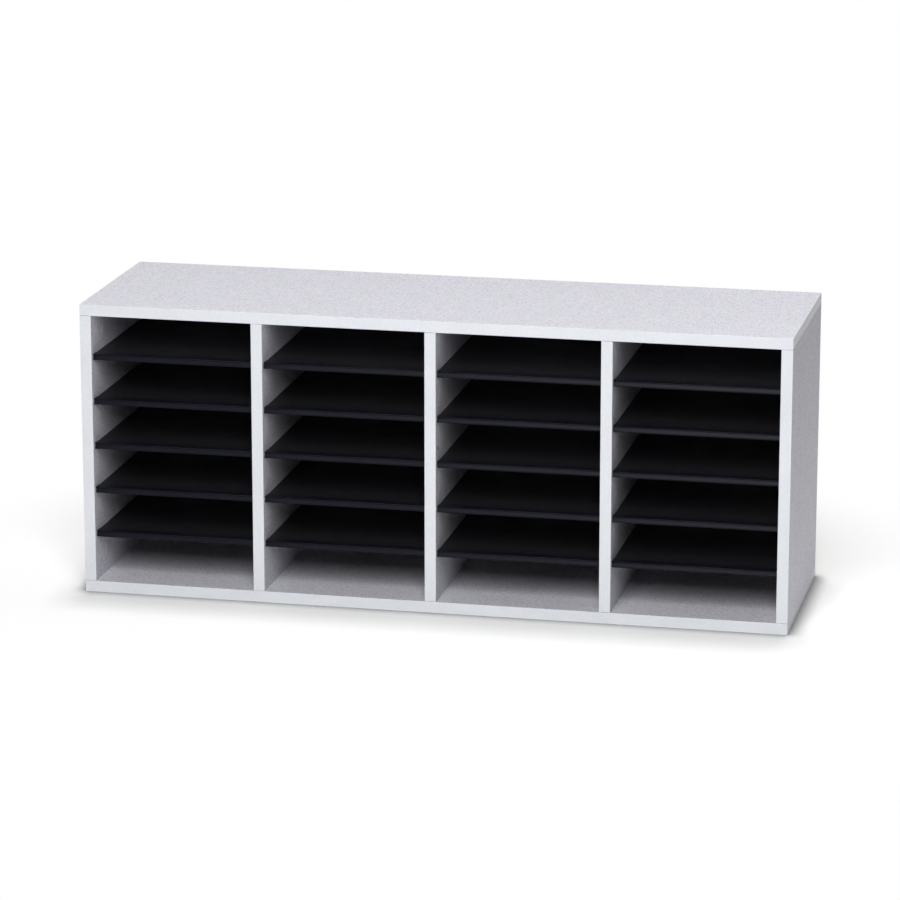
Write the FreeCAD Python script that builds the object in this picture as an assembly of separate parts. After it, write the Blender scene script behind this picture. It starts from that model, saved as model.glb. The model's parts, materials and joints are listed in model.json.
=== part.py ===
import FreeCAD, Part
import os
from math import sqrt

# Literature organizer: a free-standing case of laminated boards with columns of thin shelves.
# Each shelf lies on four pins and carries a plastic label moulding along its front edge.
# Millimetres. Origin at the middle of the underside, +X to the right, +Y to the back, +Z up.

# Overall size and layout
WIDTH = 1000.0
DEPTH = 298.0
HEIGHT = 416.0
COLUMNS = 4
ROWS = 6

# Case boards, the strips on their visible edges, and the thin back
BOARD = 16.0
EDGE_BAND = 1.0
BACK = 3.2
BACK_INSET = 1.5

# Shelf boards
SHELF = 3.2
SHELF_SIDE_GAP = 0.75
SHELF_REAR_GAP = 2.0

# Label moulding: a front wall with a label channel, a flange over the shelf and a nib under it
MOULDING_SETBACK = 5.0
MOULDING_HEIGHT = 8.5
MOULDING_ROUND = 0.7
FLANGE = 0.9
FLANGE_LENGTH = 10.0
NIB = 1.0
NIB_LENGTH = 1.2

# Label channel: two lips with a slot behind each, and a floor that leans back to face up a little
LABEL_FOOT_LIP = 1.7
LABEL_HEAD_LIP = 1.3
LABEL_LIP_WALL = 0.6
LABEL_SLOT = 0.4
LABEL_GAP = 0.4
LABEL_LEAN = 1.9
LABEL_BACK_WALL = 0.9

# Shelf pins: a shank in the wall and a head with a flat seat
PIN_DIAMETER = 5.0
PIN_HEAD_DIAMETER = 6.0
PIN_HEAD_LENGTH = 8.0
PIN_SEAT_RISE = 1.5
PIN_MOULDING_GAP = 0.3
PIN_HOLE_WEB = 1.0
REAR_PIN_DISTANCE = 40.0
SPARE_HOLE_COLUMN = 3
SPARE_HOLE_HEIGHT = 218.0

# Cam fittings and dowels that join the uprights to the top and the bottom
CAM_DIAMETER = 15.0
CAM_FLOOR = 3.5
CAM_INSET = 0.2
CAM_END_DISTANCE = 34.0
CAM_EDGE_DISTANCE = 60.0
CROSS_LENGTH = 7.0
CROSS_WIDTH = 1.4
CROSS_DEPTH = 2.0
COVER_DIAMETER = 18.0
COVER_THICKNESS = 0.5
BOLT_DIAMETER = 6.8
BOLT_THREAD_DIAMETER = 5.0
BOLT_NECK_DIAMETER = 4.0
BOLT_NECK_LENGTH = 3.0
BOLT_HEAD_LENGTH = 4.0
DOWEL_DIAMETER = 8.0
DOWEL_IN_UPRIGHT = 20.0
DOWEL_CHAMFER = 1.0
DOWEL_FROM_CAM = 32.0
PANEL_HOLE_FLOOR = 5.0

# Nails that hold the back
NAIL_DIAMETER = 1.6
NAIL_LENGTH = 22.0
NAIL_HEAD_DIAMETER = 4.0
NAIL_HEAD = 0.8
NAILS_PER_BAY = 2
NAILS_PER_UPRIGHT = 3

# Fits: play round a piece in its hole, and free depth beyond its tip
PLAY = 0.05
TIP_GAP = 0.5

# Planes and spacings that follow from the sizes above
FRONT = -DEPTH / 2
REAR = DEPTH / 2
CORE_FRONT = FRONT + EDGE_BAND
CORE_REAR = REAR - BACK
FLOOR = BOARD
CEILING = HEIGHT - BOARD
BAY = (WIDTH - (COLUMNS + 1) * BOARD) / COLUMNS
PITCH = (CEILING - FLOOR) / ROWS
MOULDING_FRONT = FRONT + MOULDING_SETBACK
CHANNEL_FOOT = LABEL_LIP_WALL + LABEL_GAP
CHANNEL_HEAD = CHANNEL_FOOT + LABEL_LEAN
MOULDING_WALL = CHANNEL_HEAD + LABEL_BACK_WALL
SHELF_FRONT = MOULDING_FRONT + MOULDING_WALL
SHELF_TOP_RISE = MOULDING_HEIGHT - FLANGE
SHELF_FOOT_RISE = SHELF_TOP_RISE - SHELF
PIN_HOLE_DEPTH = (BOARD - PIN_HOLE_WEB) / 2
PANEL_HOLE_DEPTH = BOARD - PANEL_HOLE_FLOOR
FRONT_PIN = SHELF_FRONT + NIB_LENGTH + PIN_MOULDING_GAP + PIN_HEAD_DIAMETER / 2
REAR_PIN = CORE_REAR - REAR_PIN_DISTANCE
CAM_ROWS = (CORE_FRONT + CAM_EDGE_DISTANCE, CORE_REAR - CAM_EDGE_DISTANCE)
DOWEL_ROWS = (CAM_ROWS[0] + DOWEL_FROM_CAM, CAM_ROWS[1] - DOWEL_FROM_CAM)

# The two planes where uprights meet a panel, with the direction from the panel into the upright
JOINT_PLANES = {"bottom": (FLOOR, 1), "top": (CEILING, -1)}
PANEL_SPANS = {"bottom": (0, FLOOR), "top": (CEILING, HEIGHT)}
UPRIGHTS = range(COLUMNS + 1)
LEVELS = range(1, ROWS)


def block(x, y, z):
    """Box between (low, high) limits on each axis."""
    lengths = [high - low for low, high in (x, y, z)]
    return Part.makeBox(*lengths, FreeCAD.Vector(x[0], y[0], z[0]))


def rod(diameter, start, end):
    """Round bar from one point to another."""
    start = FreeCAD.Vector(*start)
    run = FreeCAD.Vector(*end) - start
    return Part.makeCylinder(diameter / 2, run.Length, start, run)


def one_solid(first, *others):
    """Pieces fused into one solid without seams."""
    return first.fuse(list(others)).removeSplitter()


def upright_span(index):
    """Limits of an upright across the width, counted from the left."""
    left = -WIDTH / 2 + index * (BAY + BOARD)
    return (left, left + BOARD)


def upright_middle(index):
    return sum(upright_span(index)) / 2


def bay_span(column):
    """Limits of a column's clear width; columns count from 1 at the left."""
    left = upright_span(column - 1)[1]
    return (left, left + BAY)


def moulding_foot(level):
    """Height of a shelf moulding's lower edge; levels count from 1 at the bottom."""
    return FLOOR + level * PITCH


def pin_height(level):
    return moulding_foot(level) + SHELF_FOOT_RISE - PIN_SEAT_RISE


def bay_walls(column):
    """The two wall faces of a column, each with the direction into the bay."""
    left, right = bay_span(column)
    return ((left, 1), (right, -1))


def cam_face(index):
    """Face of an upright that its cams open to, with that face's direction.

    The left side opens to its bay, the other uprights open to the left.
    """
    left, right = upright_span(index)
    return (right, 1) if index == 0 else (left, -1)


def nail_points():
    """Places of the nails on the back, across and up."""
    points = []
    for column in range(1, COLUMNS + 1):
        left = bay_span(column)[0]
        for step in range(NAILS_PER_BAY):
            x = left + (step + 0.5) * BAY / NAILS_PER_BAY
            points += [(x, BOARD / 2), (x, HEIGHT - BOARD / 2)]
    for index in UPRIGHTS:
        for step in range(NAILS_PER_UPRIGHT):
            z = FLOOR + (step + 0.5) * (CEILING - FLOOR) / NAILS_PER_UPRIGHT
            points.append((upright_middle(index), z))
    return points


def nail_pilot_holes():
    """Holes for the nail shanks, through the back and into the rear edges of the boards."""
    diameter = NAIL_DIAMETER + 2 * PLAY
    depth = NAIL_LENGTH + TIP_GAP
    return [rod(diameter, (x, REAR, z), (x, REAR - depth, z)) for x, z in nail_points()]


def end_panel(end):
    """Top or bottom panel, without its edge bands."""
    plane, inward = JOINT_PLANES[end]
    floor = plane - inward * PANEL_HOLE_DEPTH
    cuts = nail_pilot_holes()
    for index in UPRIGHTS:
        middle = upright_middle(index)
        for rows, diameter in ((CAM_ROWS, BOLT_THREAD_DIAMETER), (DOWEL_ROWS, DOWEL_DIAMETER)):
            cuts += [rod(diameter + 2 * PLAY, (middle, y, plane), (middle, y, floor)) for y in rows]
    x = (-WIDTH / 2 + EDGE_BAND, WIDTH / 2 - EDGE_BAND)
    return block(x, (CORE_FRONT, CORE_REAR), PANEL_SPANS[end]).cut(cuts)


def upright(index):
    """Side panel or divider, drilled for its shelf pins, cams, bolts, dowels and nails."""
    cuts = nail_pilot_holes()
    middle = upright_middle(index)
    face, outward = cam_face(index)
    for plane, inward in JOINT_PLANES.values():
        z = plane + inward * CAM_END_DISTANCE
        for y in CAM_ROWS:
            floor = face - outward * (BOARD - CAM_FLOOR)
            cuts.append(rod(CAM_DIAMETER + 2 * PLAY, (face, y, z), (floor, y, z)))
            cuts.append(rod(BOLT_DIAMETER + 2 * PLAY, (middle, y, plane), (middle, y, z)))
        tip = plane + inward * (DOWEL_IN_UPRIGHT + TIP_GAP)
        cuts += [rod(DOWEL_DIAMETER + 2 * PLAY, (middle, y, plane), (middle, y, tip)) for y in DOWEL_ROWS]
    for column in (index, index + 1):
        if 1 <= column <= COLUMNS:
            cuts += pin_holes(column, upright_span(index))
    body = block(upright_span(index), (CORE_FRONT, CORE_REAR), (FLOOR, CEILING))
    return body.cut(cuts)


def pin_holes(column, span):
    """Pin holes of a column in the wall face that belongs to the upright with this span."""
    heights = [pin_height(level) for level in LEVELS]
    if column == SPARE_HOLE_COLUMN:
        heights.append(FLOOR + SPARE_HOLE_HEIGHT)
    holes = []
    for wall, inward in bay_walls(column):
        if wall in span:
            floor = wall - inward * PIN_HOLE_DEPTH
            for z in heights:
                for y in (FRONT_PIN, REAR_PIN):
                    holes.append(rod(PIN_DIAMETER + 2 * PLAY, (wall, y, z), (floor, y, z)))
    return holes


def back_panel():
    """Thin back, nailed on behind the boards and kept just inside their outline."""
    x = (-WIDTH / 2 + BACK_INSET, WIDTH / 2 - BACK_INSET)
    z = (BACK_INSET, HEIGHT - BACK_INSET)
    head = NAIL_HEAD_DIAMETER + 2 * PLAY
    sinks = [rod(head, (x, REAR, z), (x, REAR - NAIL_HEAD, z)) for x, z in nail_points()]
    return block(x, (CORE_REAR, REAR), z).cut(nail_pilot_holes() + sinks)


def end_panel_bands(end):
    """Strips on the front edge and both ends of the top or bottom panel."""
    z = PANEL_SPANS[end]
    half = WIDTH / 2
    front = block((-half, half), (FRONT, CORE_FRONT), z)
    left = block((-half, -half + EDGE_BAND), (CORE_FRONT, CORE_REAR), z)
    right = block((half - EDGE_BAND, half), (CORE_FRONT, CORE_REAR), z)
    return [front, left, right]


def upright_bands():
    """Strips on the front edges of the uprights."""
    return [block(upright_span(index), (FRONT, CORE_FRONT), (FLOOR, CEILING)) for index in UPRIGHTS]


def fastener_places():
    """Every joint between an upright and a panel: upright, joint plane, direction into the upright."""
    return [(index, *joint) for index in UPRIGHTS for joint in JOINT_PLANES.values()]


def cam_bolt(index, plane, inward, y):
    """Bolt that screws into a panel and ends in a head inside the cam."""
    x = upright_middle(index)
    head_near = CAM_END_DISTANCE - BOLT_HEAD_LENGTH / 2
    stations = [
        (TIP_GAP - PANEL_HOLE_DEPTH, 0, BOLT_THREAD_DIAMETER),
        (0, head_near - BOLT_NECK_LENGTH, BOLT_DIAMETER),
        (head_near - BOLT_NECK_LENGTH, head_near, BOLT_NECK_DIAMETER),
        (head_near, head_near + BOLT_HEAD_LENGTH, BOLT_DIAMETER),
    ]
    rods = []
    for near, far, diameter in stations:
        rods.append(rod(diameter, (x, y, plane + inward * near), (x, y, plane + inward * far)))
    return one_solid(*rods)


def cam_lock(index, plane, inward, y):
    """Round cam in the upright's face, with a cross slot and an opening for the bolt's head."""
    face, outward = cam_face(index)
    z = plane + inward * CAM_END_DISTANCE
    middle = upright_middle(index)
    seat = face - outward * CAM_INSET
    body = rod(CAM_DIAMETER, (seat, y, z), (face - outward * (BOARD - CAM_FLOOR), y, z))
    reach = z + inward * (BOLT_HEAD_LENGTH / 2 + TIP_GAP)
    opening = rod(BOLT_DIAMETER + 2 * PLAY, (middle, y, reach), (middle, y, z - inward * CAM_DIAMETER))
    slots = [cross_blade(index, y, z, seat, CROSS_DEPTH, arm, 0) for arm in ("across", "upright")]
    return body.cut([opening] + slots)


def cross_blade(index, y, z, start, depth, arm, play):
    """One arm of the cam's cross slot, or the cover's blade that fits it with some play."""
    outward = cam_face(index)[1]
    long_half = CROSS_LENGTH / 2 - play
    short_half = CROSS_WIDTH / 2 - play
    half_y, half_z = (long_half, short_half) if arm == "across" else (short_half, long_half)
    x = sorted((start, start - outward * depth))
    return block(x, (y - half_y, y + half_y), (z - half_z, z + half_z))


def cam_cover(index, plane, inward, y):
    """Flat cap over a cam, held by a blade in the cam's slot."""
    face, outward = cam_face(index)
    z = plane + inward * CAM_END_DISTANCE
    disc = rod(COVER_DIAMETER, (face, y, z), (face + outward * COVER_THICKNESS, y, z))
    blade = cross_blade(index, y, z, face, CROSS_DEPTH, "across", PLAY)
    return one_solid(disc, blade)


def dowel(index, plane, inward, y):
    """Wooden dowel with chamfered ends."""
    x = upright_middle(index)
    near = plane - inward * (PANEL_HOLE_DEPTH - TIP_GAP)
    far = plane + inward * DOWEL_IN_UPRIGHT
    bar = rod(DOWEL_DIAMETER, (x, y, near), (x, y, far))
    rims = [edge for edge in bar.Edges if edge.Closed]
    return bar.makeChamfer(DOWEL_CHAMFER, rims)


def at_each_joint(make, rows):
    """One fastener for each joint of an upright and each row from front to back."""
    return [make(*place, y) for place in fastener_places() for y in rows]


def nail(x, z):
    """Flat-headed nail, flush with the back."""
    head = rod(NAIL_HEAD_DIAMETER, (x, REAR, z), (x, REAR - NAIL_HEAD, z))
    shank = rod(NAIL_DIAMETER, (x, REAR - NAIL_HEAD, z), (x, REAR - NAIL_LENGTH, z))
    return one_solid(head, shank)


def shelf_pin(wall, inward, y, z):
    """Pin in a wall face: round shank in the board, round head with a flat seat for the shelf."""
    shank_tip = wall - inward * (PIN_HOLE_DEPTH - TIP_GAP)
    head_tip = wall + inward * PIN_HEAD_LENGTH
    shank = rod(PIN_DIAMETER, (shank_tip, y, z), (wall, y, z))
    head = rod(PIN_HEAD_DIAMETER, (wall, y, z), (head_tip, y, z))
    radius = PIN_HEAD_DIAMETER / 2
    above = block(sorted((wall, head_tip)), (y - radius, y + radius), (z + PIN_SEAT_RISE, z + radius))
    return one_solid(shank, head.cut(above))


def shelf_pins(y):
    """All pins of the front or the rear row."""
    pins = []
    for column in range(1, COLUMNS + 1):
        for level in LEVELS:
            pins += [shelf_pin(*wall, y, pin_height(level)) for wall in bay_walls(column)]
    return pins


def shelf_span(column):
    """Limits of a shelf across its bay."""
    left, right = bay_span(column)
    return (left + SHELF_SIDE_GAP, right - SHELF_SIDE_GAP)


def shelf_board(column, level):
    foot = moulding_foot(level)
    z = (foot + SHELF_FOOT_RISE, foot + SHELF_TOP_RISE)
    return block(shelf_span(column), (SHELF_FRONT, CORE_REAR - SHELF_REAR_GAP), z)


def label_moulding(column, level):
    """Plastic strip along a shelf's front edge, one section drawn out over the shelf's width."""
    left, right = shelf_span(column)
    foot = moulding_foot(level)

    def point(back, rise):
        return FreeCAD.Vector(left, MOULDING_FRONT + back, foot + rise)

    flange_end = MOULDING_WALL + FLANGE_LENGTH
    nib_end = MOULDING_WALL + NIB_LENGTH
    bulge = MOULDING_ROUND * (1 - sqrt(0.5))
    foot_round = Part.Arc(point(MOULDING_ROUND, 0), point(bulge, bulge), point(0, MOULDING_ROUND))
    head_lip = MOULDING_HEIGHT - LABEL_HEAD_LIP
    face = [
        point(0, MOULDING_ROUND),
        point(0, LABEL_FOOT_LIP),
        point(LABEL_LIP_WALL, LABEL_FOOT_LIP),
        point(LABEL_LIP_WALL, LABEL_FOOT_LIP - LABEL_SLOT),
        point(CHANNEL_FOOT, LABEL_FOOT_LIP - LABEL_SLOT),
        point(CHANNEL_HEAD, head_lip + LABEL_SLOT),
        point(CHANNEL_HEAD - LABEL_GAP, head_lip + LABEL_SLOT),
        point(CHANNEL_HEAD - LABEL_GAP, head_lip),
        point(0, head_lip),
        point(0, MOULDING_HEIGHT - MOULDING_ROUND),
    ]
    head_round = Part.Arc(
        point(0, MOULDING_HEIGHT - MOULDING_ROUND),
        point(bulge, MOULDING_HEIGHT - bulge),
        point(MOULDING_ROUND, MOULDING_HEIGHT),
    )
    grip = [
        point(MOULDING_ROUND, MOULDING_HEIGHT),
        point(flange_end, MOULDING_HEIGHT),
        point(flange_end, SHELF_TOP_RISE),
        point(MOULDING_WALL, SHELF_TOP_RISE),
        point(MOULDING_WALL, SHELF_FOOT_RISE),
        point(nib_end, SHELF_FOOT_RISE),
        point(nib_end, SHELF_FOOT_RISE - NIB),
        point(MOULDING_WALL, SHELF_FOOT_RISE - NIB),
        point(MOULDING_WALL, 0),
        point(MOULDING_ROUND, 0),
    ]
    edges = [foot_round.toShape(), *Part.makePolygon(face).Edges]
    edges += [head_round.toShape(), *Part.makePolygon(grip).Edges]
    section = Part.Face(Part.Wire(edges))
    return section.extrude(FreeCAD.Vector(right - left, 0, 0))


def upright_name(index):
    if index == 0:
        return "left_side_panel"
    if index == COLUMNS:
        return "right_side_panel"
    return f"divider_{index}"


def nodes():
    """Every node by name, each with the list of its solids."""
    made = {
        "top_panel": [end_panel("top")],
        "bottom_panel": [end_panel("bottom")],
        "back_panel": [back_panel()],
        "top_edge_bands": end_panel_bands("top"),
        "bottom_edge_bands": end_panel_bands("bottom"),
        "upright_edge_bands": upright_bands(),
        "cam_bolts": at_each_joint(cam_bolt, CAM_ROWS),
        "cam_locks": at_each_joint(cam_lock, CAM_ROWS),
        "cam_covers": at_each_joint(cam_cover, CAM_ROWS),
        "dowels": at_each_joint(dowel, DOWEL_ROWS),
        "back_nails": [nail(x, z) for x, z in nail_points()],
        "front_shelf_pins": shelf_pins(FRONT_PIN),
        "rear_shelf_pins": shelf_pins(REAR_PIN),
    }
    for index in UPRIGHTS:
        made[upright_name(index)] = [upright(index)]
    for column in range(1, COLUMNS + 1):
        for level in LEVELS:
            made[f"shelf_c{column}_r{level}"] = [shelf_board(column, level)]
            made[f"label_moulding_c{column}_r{level}"] = [label_moulding(column, level)]
    return made


os.makedirs("parts", exist_ok=True)
for name, solids in nodes().items():
    shape = solids[0] if len(solids) == 1 else Part.makeCompound(solids)
    shape.exportStep(f"parts/{name}.step")
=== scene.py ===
import json
import math

import bmesh
import bpy
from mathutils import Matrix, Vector


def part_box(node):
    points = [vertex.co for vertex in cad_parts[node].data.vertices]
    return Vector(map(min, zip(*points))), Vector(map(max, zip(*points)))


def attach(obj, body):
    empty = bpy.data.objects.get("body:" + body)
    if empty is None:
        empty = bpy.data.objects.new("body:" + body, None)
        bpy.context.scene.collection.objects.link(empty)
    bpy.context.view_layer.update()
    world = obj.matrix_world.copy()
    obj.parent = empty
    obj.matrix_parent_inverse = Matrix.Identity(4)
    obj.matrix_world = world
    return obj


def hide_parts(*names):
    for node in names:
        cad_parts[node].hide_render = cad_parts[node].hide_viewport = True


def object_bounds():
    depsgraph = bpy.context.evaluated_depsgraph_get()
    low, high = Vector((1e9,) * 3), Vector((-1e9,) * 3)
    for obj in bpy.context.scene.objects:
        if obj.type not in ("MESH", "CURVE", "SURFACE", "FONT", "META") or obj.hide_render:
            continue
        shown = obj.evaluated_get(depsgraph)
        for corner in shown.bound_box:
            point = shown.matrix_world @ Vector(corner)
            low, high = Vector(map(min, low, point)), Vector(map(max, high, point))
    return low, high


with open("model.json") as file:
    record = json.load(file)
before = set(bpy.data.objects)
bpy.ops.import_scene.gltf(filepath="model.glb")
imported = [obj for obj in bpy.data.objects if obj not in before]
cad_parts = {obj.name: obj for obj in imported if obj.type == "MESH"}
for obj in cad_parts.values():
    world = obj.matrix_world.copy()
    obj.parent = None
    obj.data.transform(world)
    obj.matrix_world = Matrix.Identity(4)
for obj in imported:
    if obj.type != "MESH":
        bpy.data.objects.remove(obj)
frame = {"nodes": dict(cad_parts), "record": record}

# Literature organizer: looks, light and camera around the fixed frame. Lengths in metres.

cad_low, cad_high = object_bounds()
NODES = frame["nodes"]
CENTRE = (cad_low + cad_high) / 2
UPRIGHTS = ("left_side_panel", "divider_1", "divider_2", "divider_3", "right_side_panel")
FITTINGS = ("front_shelf_pins", "rear_shelf_pins", "cam_covers")

# Camera: angles in degrees, lens and sensor in millimetres, offsets in the picture's plane
CAMERA_AZIMUTH = 12.3
CAMERA_ELEVATION = 14.55
CAMERA_DISTANCE = 5.8
CAMERA_LENS = 164.1
CAMERA_SENSOR = 36.0
CAMERA_CLIP_END = 100.0
TARGET_RIGHT = -0.0042
TARGET_UP = -0.0113

# Light: angles in degrees, levels as shares of the light that shows a colour as it is written
WORLD_LEVEL = 0.10
WORLD_SEEN = 1.0
LAMPS = {
    "key": dict(azimuth=7, elevation=33, distance=3.6, size=1.8, level=0.79),
    "top": dict(azimuth=185, elevation=82, distance=10.0, size=1.6, level=0.35),
    "rear": dict(azimuth=160, elevation=40, distance=3.8, size=2.0, level=0.15),
}

# Floor: its surface, the darker shade round the object's foot, and the fade to white
FLOOR_WIDTH = 2.3
FLOOR_DEPTH = 60.0
FLOOR_GREY = 0.92
FLOOR_GLOW = 0.20
FLOOR_ROUGHNESS = 0.9
FLOOR_SPECULAR = 0.1
CONTACT_GREY = 0.26
CONTACT_REACH = 0.025
CONTACT_OPENNESS = 0.5
CONTACT_SAMPLES = 8
FADE_MIDDLE = -0.20
FADE_START = 0.60
FADE_END = 0.95

# Rounding of visible edges, and the hairline where an upright's band meets a panel's
BAND_ROUND = 0.0006
BAND_SEGMENTS = 3
ROUND_PROFILE = 0.5
SEAM = 0.0003
SHELF_ROUND = 0.0003
MOULDING_ROUND = 0.00012
FITTING_ROUND = 0.0002
ROUND_SEGMENTS = 2
SHARP_ANGLE = 40.0
JOIN_DISTANCE = 2e-6
TOUCH = 1e-6

# Colours, linear
WHITE = (1.0, 1.0, 1.0, 1.0)
LAMINATE = (0.716, 0.710, 0.774)
BAND = (0.703, 0.724, 0.760)
BLACK_BOARD = (0.010, 0.010, 0.012)
BLACK_PLASTIC = (0.0042, 0.0047, 0.0088)
PIN_PLASTIC = (0.030, 0.030, 0.032)
COVER_PLASTIC = (0.640, 0.640, 0.670)
ZINC = (0.50, 0.50, 0.52)
PLATED_STEEL = (0.62, 0.61, 0.58)

# The range that most of a noise lies in, and the least share of a normal along an axis it faces
NOISE_LOW = 0.3
NOISE_HIGH = 0.7
FACING_SHARE = 0.5


def tinted(colour, factor):
    """A colour made darker or lighter, with its alpha."""
    return tuple(min(1.0, channel * factor) for channel in colour) + (1.0,)


def grey(level):
    """A neutral colour with its alpha."""
    return (level, level, level, 1.0)


class Surface:
    """A Principled material with short ways to add procedural detail in object space."""

    def __init__(self, name, roughness, metallic=0.0, specular=0.5):
        self.material = bpy.data.materials.new(name)
        self.material.use_nodes = True
        self.tree = self.material.node_tree
        self.shader = self.tree.nodes["Principled BSDF"]
        self.shader.inputs["Roughness"].default_value = roughness
        self.shader.inputs["Metallic"].default_value = metallic
        self.shader.inputs["Specular IOR Level"].default_value = specular
        self.coordinates = self.tree.nodes.new("ShaderNodeTexCoord")

    def node(self, kind, **settings):
        """Adds a node and sets its properties."""
        made = self.tree.nodes.new(kind)
        for key, value in settings.items():
            setattr(made, key, value)
        return made

    def link(self, output, target):
        """Joins a node's output to a socket."""
        self.tree.links.new(output, target)

    def stretched(self, scale):
        """Object coordinates times a scale along each axis."""
        mapping = self.node("ShaderNodeMapping")
        mapping.inputs["Scale"].default_value = scale
        self.link(self.coordinates.outputs["Object"], mapping.inputs["Vector"])
        return mapping.outputs["Vector"]

    def noise(self, scale, detail=2.0, roughness=0.5, stretch=(1, 1, 1)):
        """Cloudy factor, with its scale in waves per metre."""
        texture = self.node("ShaderNodeTexNoise")
        texture.inputs["Scale"].default_value = scale
        texture.inputs["Detail"].default_value = detail
        texture.inputs["Roughness"].default_value = roughness
        self.link(self.stretched(stretch), texture.inputs["Vector"])
        return texture.outputs["Fac"]

    def cells(self, scale, stretch=(1, 1, 1)):
        """Flakes with a value each, with their scale in flakes per metre."""
        texture = self.node("ShaderNodeTexVoronoi")
        texture.inputs["Scale"].default_value = scale
        self.link(self.stretched(stretch), texture.inputs["Vector"])
        return texture.outputs["Color"]

    def ramp(self, fac, stops):
        """Colour by a factor, through (place, colour) stops."""
        made = self.node("ShaderNodeValToRGB")
        elements = made.color_ramp.elements
        while len(elements) < len(stops):
            elements.new(1.0)
        for element, (place, colour) in zip(elements, stops):
            element.position = place
            element.color = colour
        self.link(fac, made.inputs["Fac"])
        return made.outputs["Color"]

    def between(self, noise, first, second):
        """Colour from the first to the second over the range of a noise."""
        return self.ramp(noise, [(NOISE_LOW, first), (NOISE_HIGH, second)])

    def blend(self, first, second, blend_type):
        """A node that blends two colour outputs."""
        made = self.node("ShaderNodeMix", data_type="RGBA", blend_type=blend_type)
        self.link(first, made.inputs["A"])
        self.link(second, made.inputs["B"])
        return made

    def mix(self, fac, first, second):
        """The first colour output where a factor is 0, the second where it is 1."""
        made = self.blend(first, second, "MIX")
        self.link(fac, made.inputs["Factor"])
        return made.outputs["Result"]

    def multiply(self, first, second):
        """Product of two colour outputs."""
        made = self.blend(first, second, "MULTIPLY")
        made.inputs["Factor"].default_value = 1.0
        return made.outputs["Result"]

    def maths(self, operation, first, second):
        """Result of an operation on two outputs or numbers."""
        made = self.node("ShaderNodeMath", operation=operation)
        for value, socket in ((first, made.inputs[0]), (second, made.inputs[1])):
            if isinstance(value, (int, float)):
                socket.default_value = value
            else:
                self.link(value, socket)
        return made.outputs["Value"]

    def span(self, fac, low, high):
        """A factor from 0 to 1 spread between two numbers."""
        made = self.node("ShaderNodeMapRange")
        made.inputs["To Min"].default_value = low
        made.inputs["To Max"].default_value = high
        self.link(fac, made.inputs["Value"])
        return made.outputs["Result"]

    def facing(self, axis, sign=0):
        """1 on faces whose normal lies along an axis, either way or on one side only."""
        split = self.node("ShaderNodeSeparateXYZ")
        self.link(self.coordinates.outputs["Normal"], split.inputs["Vector"])
        along = split.outputs[axis]
        if sign == 0:
            along = self.maths("MULTIPLY", along, along)
        elif sign < 0:
            along = self.maths("MULTIPLY", along, -1.0)
        return self.maths("GREATER_THAN", along, FACING_SHARE)

    def colour(self, output):
        """Sets the base colour."""
        self.link(output, self.shader.inputs["Base Color"])

    def vary_roughness(self, fac, spread):
        """Moves the roughness by a factor, up to a spread to either side of its own value."""
        socket = self.shader.inputs["Roughness"]
        middle = socket.default_value
        self.link(self.span(fac, middle - spread, middle + spread), socket)

    def bump(self, height, depth):
        """Bump of a height from 0 to 1 over a depth in metres."""
        made = self.node("ShaderNodeBump")
        made.inputs["Distance"].default_value = depth
        self.link(height, made.inputs["Height"])
        self.link(made.outputs["Normal"], self.shader.inputs["Normal"])


def chipboard_colour(surface):
    """Raw particle board: pressed flakes in several browns."""
    flakes = surface.cells(scale=420.0, stretch=(1, 1, 1.6))
    dust = surface.noise(scale=900.0, detail=3.0)
    browns = surface.ramp(flakes, [
        (0.0, (0.20, 0.125, 0.065, 1)),
        (0.5, (0.38, 0.265, 0.155, 1)),
        (1.0, (0.56, 0.430, 0.280, 1)),
    ])
    return surface.multiply(browns, surface.between(dust, grey(0.70), WHITE))


def laminate_material(name, broad_axis):
    """Light grey laminate with fine flecks on a board's broad faces.

    Its rear edge is bare particle board, and its bores are painted near black as painted shade of
    deep holes.
    """
    surface = Surface(name, roughness=0.58, specular=0.3)
    grain = surface.noise(scale=1300.0, detail=3.0, roughness=0.65)
    cloud = surface.noise(scale=34.0, detail=3.0)
    flecks = surface.ramp(surface.cells(scale=580.0), [
        (0.10, tinted(LAMINATE, 0.68)),
        (0.30, tinted(LAMINATE, 0.98)),
        (0.72, tinted(LAMINATE, 1.04)),
        (0.90, tinted(LAMINATE, 1.24)),
    ])
    fine = surface.between(grain, grey(0.90), WHITE)
    broad = surface.between(cloud, (0.965, 0.965, 0.970, 1), WHITE)
    faced = surface.multiply(flecks, surface.multiply(fine, broad))
    # Painted shade: a near-black colour standing in for the shade deep inside the bores, also
    # given to the other non-rear edges
    painted_bore_shade = surface.between(grain, (0.004, 0.003, 0.002, 1), (0.010, 0.007, 0.005, 1))
    edges = surface.mix(surface.facing("Y", 1), painted_bore_shade, chipboard_colour(surface))
    surface.colour(surface.mix(surface.facing(broad_axis), edges, faced))
    surface.vary_roughness(grain, spread=0.08)
    surface.bump(grain, depth=0.00004)
    return surface.material


def band_material():
    """Plastic edge banding: smoother and a little paler than the boards, with faint wear."""
    surface = Surface("edge_band", roughness=0.40, specular=0.45)
    grain = surface.noise(scale=520.0)
    wear = surface.noise(scale=18.0, detail=4.0)
    fine = surface.between(grain, tinted(BAND, 0.96), tinted(BAND, 1.03))
    broad = surface.ramp(wear, [(0.35, (0.97, 0.97, 0.975, 1)), (0.65, WHITE)])
    surface.colour(surface.multiply(fine, broad))
    surface.vary_roughness(wear, spread=0.07)
    surface.bump(grain, depth=0.00003)
    return surface.material


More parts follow.
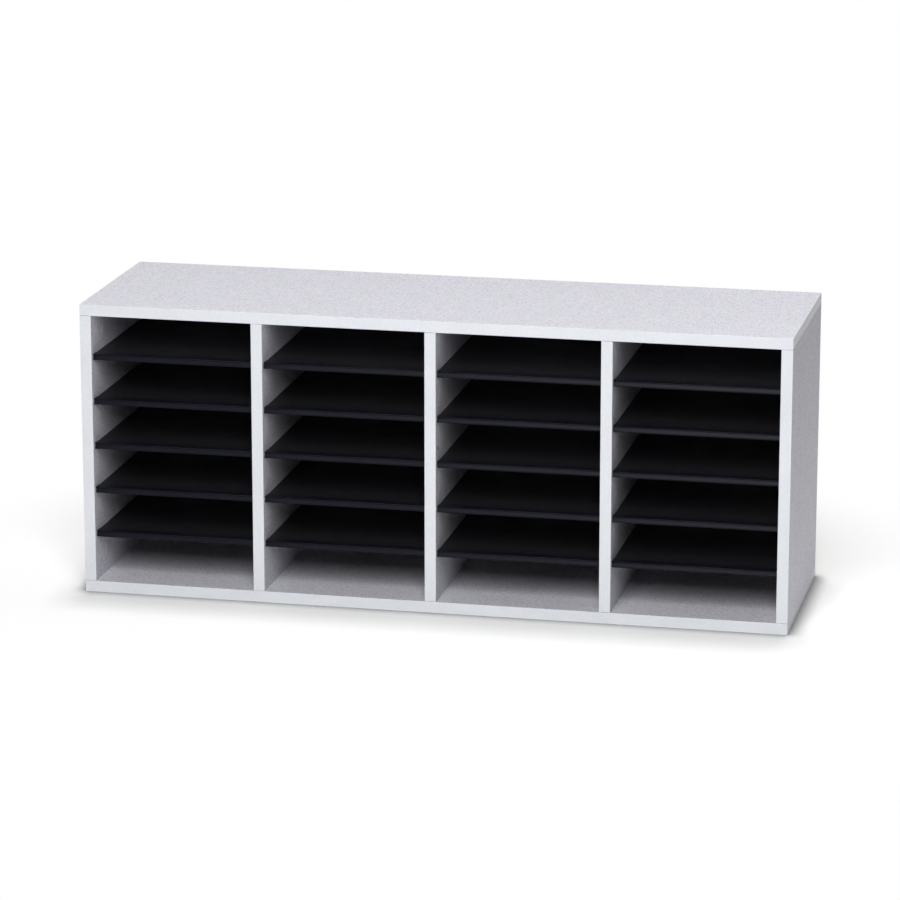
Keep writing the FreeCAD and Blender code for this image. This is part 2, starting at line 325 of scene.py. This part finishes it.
def black_board_material():
    """Black hardboard: satin faces with a faint fibre, dark brown where the core shows."""
    surface = Surface("black_hardboard", roughness=0.46, specular=0.22)
    fibre = surface.noise(scale=260.0, detail=4.0, stretch=(1, 2.5, 1))
    patch = surface.noise(scale=22.0, detail=3.0)
    faces = surface.between(fibre, tinted(BLACK_BOARD, 0.75), tinted(BLACK_BOARD, 1.5))
    core = surface.between(fibre, (0.020, 0.013, 0.009, 1), (0.055, 0.036, 0.022, 1))
    surface.colour(surface.mix(surface.facing("Z"), core, faces))
    surface.vary_roughness(patch, spread=0.10)
    surface.bump(fibre, depth=0.00005)
    return surface.material


def black_plastic_material():
    """Extruded black plastic with faint lines along its length."""
    surface = Surface("black_plastic", roughness=0.36, specular=0.09)
    lines = surface.noise(scale=900.0, stretch=(0.01, 1, 1))
    scuffs = surface.noise(scale=70.0, detail=5.0, stretch=(0.3, 1, 1))
    surface.colour(surface.ramp(scuffs, [
        (0.30, tinted(BLACK_PLASTIC, 0.8)),
        (0.62, tinted(BLACK_PLASTIC, 1.25)),
        (0.80, tinted(BLACK_PLASTIC, 1.9)),
    ]))
    surface.vary_roughness(scuffs, spread=0.10)
    surface.bump(lines, depth=0.00004)
    return surface.material


def back_material():
    """Hardboard back: grey lacquer inside, brown with a pressed screen pattern outside."""
    surface = Surface("hardboard_back", roughness=0.62, specular=0.3)
    fibre = surface.noise(scale=300.0, detail=5.0, roughness=0.6)
    stain = surface.noise(scale=9.0, detail=4.0)
    browns = surface.ramp(fibre, [
        (0.25, (0.125, 0.066, 0.032, 1)),
        (0.55, (0.215, 0.122, 0.062, 1)),
        (0.80, (0.300, 0.185, 0.100, 1)),
    ])
    tone = surface.between(stain, (0.84, 0.82, 0.80, 1), WHITE)
    weave = surface.maths("MAXIMUM", screen_wave(surface, "X"), screen_wave(surface, "Z"))
    pressed = surface.ramp(weave, [(0.4, (0.80, 0.79, 0.78, 1)), (1.0, grey(1.06))])
    outside = surface.multiply(surface.multiply(browns, tone), pressed)
    inside = surface.between(fibre, tinted(LAMINATE, 0.90), tinted(LAMINATE, 1.0))
    surface.colour(surface.mix(surface.facing("Y", -1), outside, inside))
    relief = surface.maths("MULTIPLY", weave, surface.facing("Y", 1))
    height = surface.maths("ADD", relief, surface.span(fibre, low=0.0, high=0.35))
    surface.bump(height, depth=0.00025)
    surface.vary_roughness(fibre, spread=0.10)
    return surface.material


def screen_wave(surface, direction):
    """Ridges of the screen that hardboard is pressed on, about 2 mm apart."""
    wave = surface.node("ShaderNodeTexWave", wave_type="BANDS", bands_direction=direction)
    wave.inputs["Scale"].default_value = 160.0
    wave.inputs["Distortion"].default_value = 0.6
    surface.link(surface.coordinates.outputs["Object"], wave.inputs["Vector"])
    return wave.outputs["Fac"]


def moulded_material(name, colour, roughness):
    """Small moulded plastic piece with a fine spark texture."""
    surface = Surface(name, roughness=roughness, specular=0.45)
    spark = surface.noise(scale=1500.0)
    surface.colour(surface.between(spark, tinted(colour, 0.85), tinted(colour, 1.12)))
    surface.vary_roughness(spark, spread=0.07)
    surface.bump(spark, depth=0.00003)
    return surface.material


def metal_material(name, colour, roughness):
    """Plated or cast metal with a cloudy finish."""
    surface = Surface(name, roughness=roughness, metallic=1.0)
    cloud = surface.noise(scale=240.0, detail=4.0)
    surface.colour(surface.between(cloud, tinted(colour, 0.72), tinted(colour, 1.08)))
    surface.vary_roughness(cloud, spread=0.10)
    surface.bump(cloud, depth=0.00003)
    return surface.material


def beech_material():
    """Beech with short dark rays along the grain."""
    surface = Surface("beech", roughness=0.55, specular=0.3)
    grain = surface.noise(scale=500.0, detail=4.0, stretch=(1, 1, 0.06))
    surface.colour(surface.ramp(grain, [
        (0.30, (0.360, 0.205, 0.095, 1)),
        (0.55, (0.520, 0.335, 0.180, 1)),
        (0.80, (0.600, 0.420, 0.250, 1)),
    ]))
    surface.bump(grain, depth=0.00005)
    return surface.material


def slot_materials():
    """One material for each slot of the record."""
    return {
        "grey_laminate": laminate_material("grey_laminate", broad_axis="Z"),
        "edge_band": band_material(),
        "hardboard_back": back_material(),
        "black_hardboard": black_board_material(),
        "black_plastic": black_plastic_material(),
        "pin_plastic": moulded_material("pin_plastic", PIN_PLASTIC, roughness=0.43),
        "cover_plastic": moulded_material("cover_plastic", COVER_PLASTIC, roughness=0.45),
        "zinc": metal_material("zinc", ZINC, roughness=0.44),
        "plated_steel": metal_material("plated_steel", PLATED_STEEL, roughness=0.32),
        "beech": beech_material(),
    }


def dress_nodes(materials):
    """Gives every node the material of its slot, turned for the boards that stand upright."""
    upright_laminate = laminate_material("grey_laminate_upright", broad_axis="X")
    for subpart in frame["record"]["subparts"]:
        node, slot = subpart["node"], subpart["material_slot"]
        mesh = NODES[node].data
        mesh.materials.clear()
        mesh.materials.append(upright_laminate if node in UPRIGHTS else materials[slot])


def soften(node, width):
    """Joins a node's faces along their edges and rounds the sharp ones by a small width."""
    weld = NODES[node].modifiers.new("joining", "WELD")
    weld.merge_threshold = JOIN_DISTANCE
    bevel = NODES[node].modifiers.new("rounding", "BEVEL")
    bevel.width = width
    bevel.segments = ROUND_SEGMENTS
    bevel.limit_method = "ANGLE"
    bevel.angle_limit = math.radians(SHARP_ANGLE)
    bevel.harden_normals = True


def end_strips(node, panel):
    """Strips round the front and both ends of the top or bottom panel."""
    low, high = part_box(node)
    core_low, core_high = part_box(panel)
    return [
        (low, Vector((high.x, core_low.y, high.z))),
        (Vector((low.x, core_low.y, low.z)), Vector((core_low.x, high.y, high.z))),
        (Vector((core_high.x, core_low.y, low.z)), high),
    ]


def upright_strips():
    """Strips on the front edges of the uprights, a hairline short of the panels."""
    strips = []
    for upright in UPRIGHTS:
        low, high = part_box(upright)
        foot = Vector((low.x, cad_low.y, low.z + SEAM))
        head = Vector((high.x, low.y, high.z - SEAM))
        strips.append((foot, head))
    return strips


def is_exposed(edge):
    """True for an edge of a strip on the case's front, or along one of its ends."""
    a, b = (vertex.co for vertex in edge.verts)
    on_front = max(a.y, b.y) < cad_low.y + TOUCH
    runs_back = abs(a.x - b.x) < TOUCH and abs(a.z - b.z) < TOUCH
    at_end = abs(abs(a.x) - cad_high.x) < TOUCH
    return on_front or (runs_back and at_end)


def add_strip(mesh, low, high):
    """Adds a strip with its exposed arrises rounded."""
    made = bmesh.ops.create_cube(mesh, size=1.0)["verts"]
    for vertex in made:
        vertex.co = Vector((high if vertex.co[i] > 0 else low)[i] for i in range(3))
    edges = {edge for vertex in made for edge in vertex.link_edges}
    exposed = [edge for edge in mesh.edges if edge in edges and is_exposed(edge)]
    bmesh.ops.bevel(
        mesh,
        geom=exposed,
        offset=BAND_ROUND,
        segments=BAND_SEGMENTS,
        profile=ROUND_PROFILE,
        affect="EDGES",
    )


def edge_band_piece(node, strips, material):
    """Edge bands of a node as strips with rounded arrises."""
    mesh = bmesh.new()
    for low, high in strips:
        add_strip(mesh, low, high)
    data = bpy.data.meshes.new(f"{node}_rounded")
    mesh.to_mesh(data)
    mesh.free()
    data.materials.append(material)
    piece = bpy.data.objects.new(f"{node}_rounded", data)
    bpy.context.scene.collection.objects.link(piece)
    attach(piece, "case")
    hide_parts(node)


def direction(azimuth, elevation):
    """Unit vector from the object to a lamp or viewpoint; azimuth 0 is in front, 90 right."""
    turn, rise = math.radians(azimuth), math.radians(elevation)
    return Vector((
        math.sin(turn) * math.cos(rise),
        -math.cos(turn) * math.cos(rise),
        math.sin(rise),
    ))


def add_aimed(name, data, location, back):
    """Adds a lamp or camera that looks against a direction."""
    made = bpy.data.objects.new(name, data)
    made.location = location
    made.rotation_mode = "QUATERNION"
    made.rotation_quaternion = (-back).to_track_quat("-Z", "Y")
    bpy.context.scene.collection.objects.link(made)
    return made


def make_camera():
    """Camera at the photograph's viewing angle."""
    back = direction(CAMERA_AZIMUTH, CAMERA_ELEVATION)
    turn = math.radians(CAMERA_AZIMUTH)
    right = Vector((math.cos(turn), math.sin(turn), 0))
    up = back.cross(right)
    data = bpy.data.cameras.new("camera")
    data.lens = CAMERA_LENS
    data.sensor_width = CAMERA_SENSOR
    data.clip_end = CAMERA_CLIP_END
    location = CENTRE + back * CAMERA_DISTANCE + right * TARGET_RIGHT + up * TARGET_UP
    bpy.context.scene.camera = add_aimed("camera", data, location, back)


def add_area_light(name, azimuth, elevation, distance, size, level):
    """Square soft light aimed at the object; level 1 lights a facing surface fully."""
    back = direction(azimuth, elevation)
    data = bpy.data.lights.new(name, "AREA")
    data.size = size
    data.energy = level * math.pi ** 2 * distance ** 2
    add_aimed(name, data, CENTRE + back * distance, back)


def seen_directly(tree):
    """1 for rays that show the background: from the camera, by reflection or through glass."""
    path = tree.nodes.new("ShaderNodeLightPath")
    total = path.outputs["Is Camera Ray"]
    for name in ("Is Glossy Ray", "Is Transmission Ray"):
        largest = tree.nodes.new("ShaderNodeMath")
        largest.operation = "MAXIMUM"
        tree.links.new(total, largest.inputs[0])
        tree.links.new(path.outputs[name], largest.inputs[1])
        total = largest.outputs["Value"]
    return total


def make_world():
    """White where it is seen, a low even fill where it lights."""
    world = bpy.data.worlds.new("studio")
    world.use_nodes = True
    tree = world.node_tree
    background = tree.nodes["Background"]
    background.inputs["Color"].default_value = WHITE
    strength = tree.nodes.new("ShaderNodeMapRange")
    strength.inputs["To Min"].default_value = WORLD_LEVEL
    strength.inputs["To Max"].default_value = WORLD_SEEN
    tree.links.new(seen_directly(tree), strength.inputs["Value"])
    tree.links.new(strength.outputs["Result"], background.inputs["Strength"])
    bpy.context.scene.world = world


def make_light():
    """Large key from the front right, a soft top light and a weak light on the back."""
    make_world()
    for name, lamp in LAMPS.items():
        add_area_light(name, **lamp)


def contact_shade(surface, seen):
    """Floor colour, seen darker close to the object, where it keeps the room's light away.

    At the foot of a wall half of the room is hidden, so the shade is full at that openness.
    """
    openness = surface.node("ShaderNodeAmbientOcclusion", samples=CONTACT_SAMPLES)
    openness.inputs["Distance"].default_value = CONTACT_REACH
    unseen = surface.maths("SUBTRACT", 1.0, seen)
    share = surface.maths("MAXIMUM", openness.outputs["AO"], unseen)
    stops = [(CONTACT_OPENNESS, grey(CONTACT_GREY)), (1.0, grey(FLOOR_GREY))]
    return surface.ramp(share, stops)


def floor_material():
    """Pale grey with a faint glow near the object, plain white further out where it is seen."""
    surface = Surface("floor", roughness=FLOOR_ROUGHNESS, specular=FLOOR_SPECULAR)
    seen = seen_directly(surface.tree)
    shaded = contact_shade(surface, seen)
    surface.colour(shaded)
    surface.link(shaded, surface.shader.inputs["Emission Color"])
    glow = surface.span(seen, low=0.0, high=FLOOR_GLOW)
    surface.link(glow, surface.shader.inputs["Emission Strength"])
    white = surface.node("ShaderNodeEmission")
    reach = surface.node("ShaderNodeVectorMath", operation="LENGTH")
    surface.link(surface.coordinates.outputs["Object"], reach.inputs[0])
    fade = surface.node("ShaderNodeMapRange", interpolation_type="SMOOTHSTEP")
    fade.inputs["From Min"].default_value = FADE_START
    fade.inputs["From Max"].default_value = FADE_END
    surface.link(reach.outputs["Value"], fade.inputs["Value"])
    mixed = surface.node("ShaderNodeMixShader")
    surface.link(surface.maths("MULTIPLY", fade.outputs["Result"], seen), mixed.inputs["Fac"])
    surface.link(surface.shader.outputs["BSDF"], mixed.inputs[1])
    surface.link(white.outputs["Emission"], mixed.inputs[2])
    surface.link(mixed.outputs["Shader"], surface.tree.nodes["Material Output"].inputs["Surface"])
    return surface.material


def make_floor():
    """Pale floor with the object's soft shadow, fading to plain white further out."""
    data = bpy.data.meshes.new("floor")
    x, y = FLOOR_WIDTH / 2, FLOOR_DEPTH / 2
    corners = [(-x, -y, 0), (x, -y, 0), (x, y, 0), (-x, y, 0)]
    data.from_pydata(corners, [], [(0, 1, 2, 3)])
    floor = bpy.data.objects.new("floor", data)
    floor.location = (0, FADE_MIDDLE, cad_low.z)
    bpy.context.scene.collection.objects.link(floor)
    data.materials.append(floor_material())


make_camera()
make_light()
make_floor()
bpy.context.scene.view_settings.view_transform = "Standard"

materials = slot_materials()
dress_nodes(materials)
band = materials["edge_band"]
edge_band_piece("top_edge_bands", end_strips("top_edge_bands", "top_panel"), band)
edge_band_piece("bottom_edge_bands", end_strips("bottom_edge_bands", "bottom_panel"), band)
edge_band_piece("upright_edge_bands", upright_strips(), band)
for name in NODES:
    if name.startswith("shelf_c"):
        soften(name, SHELF_ROUND)
    elif name.startswith("label_moulding_c"):
        soften(name, MOULDING_ROUND)
for name in FITTINGS:
    soften(name, FITTING_ROUND)
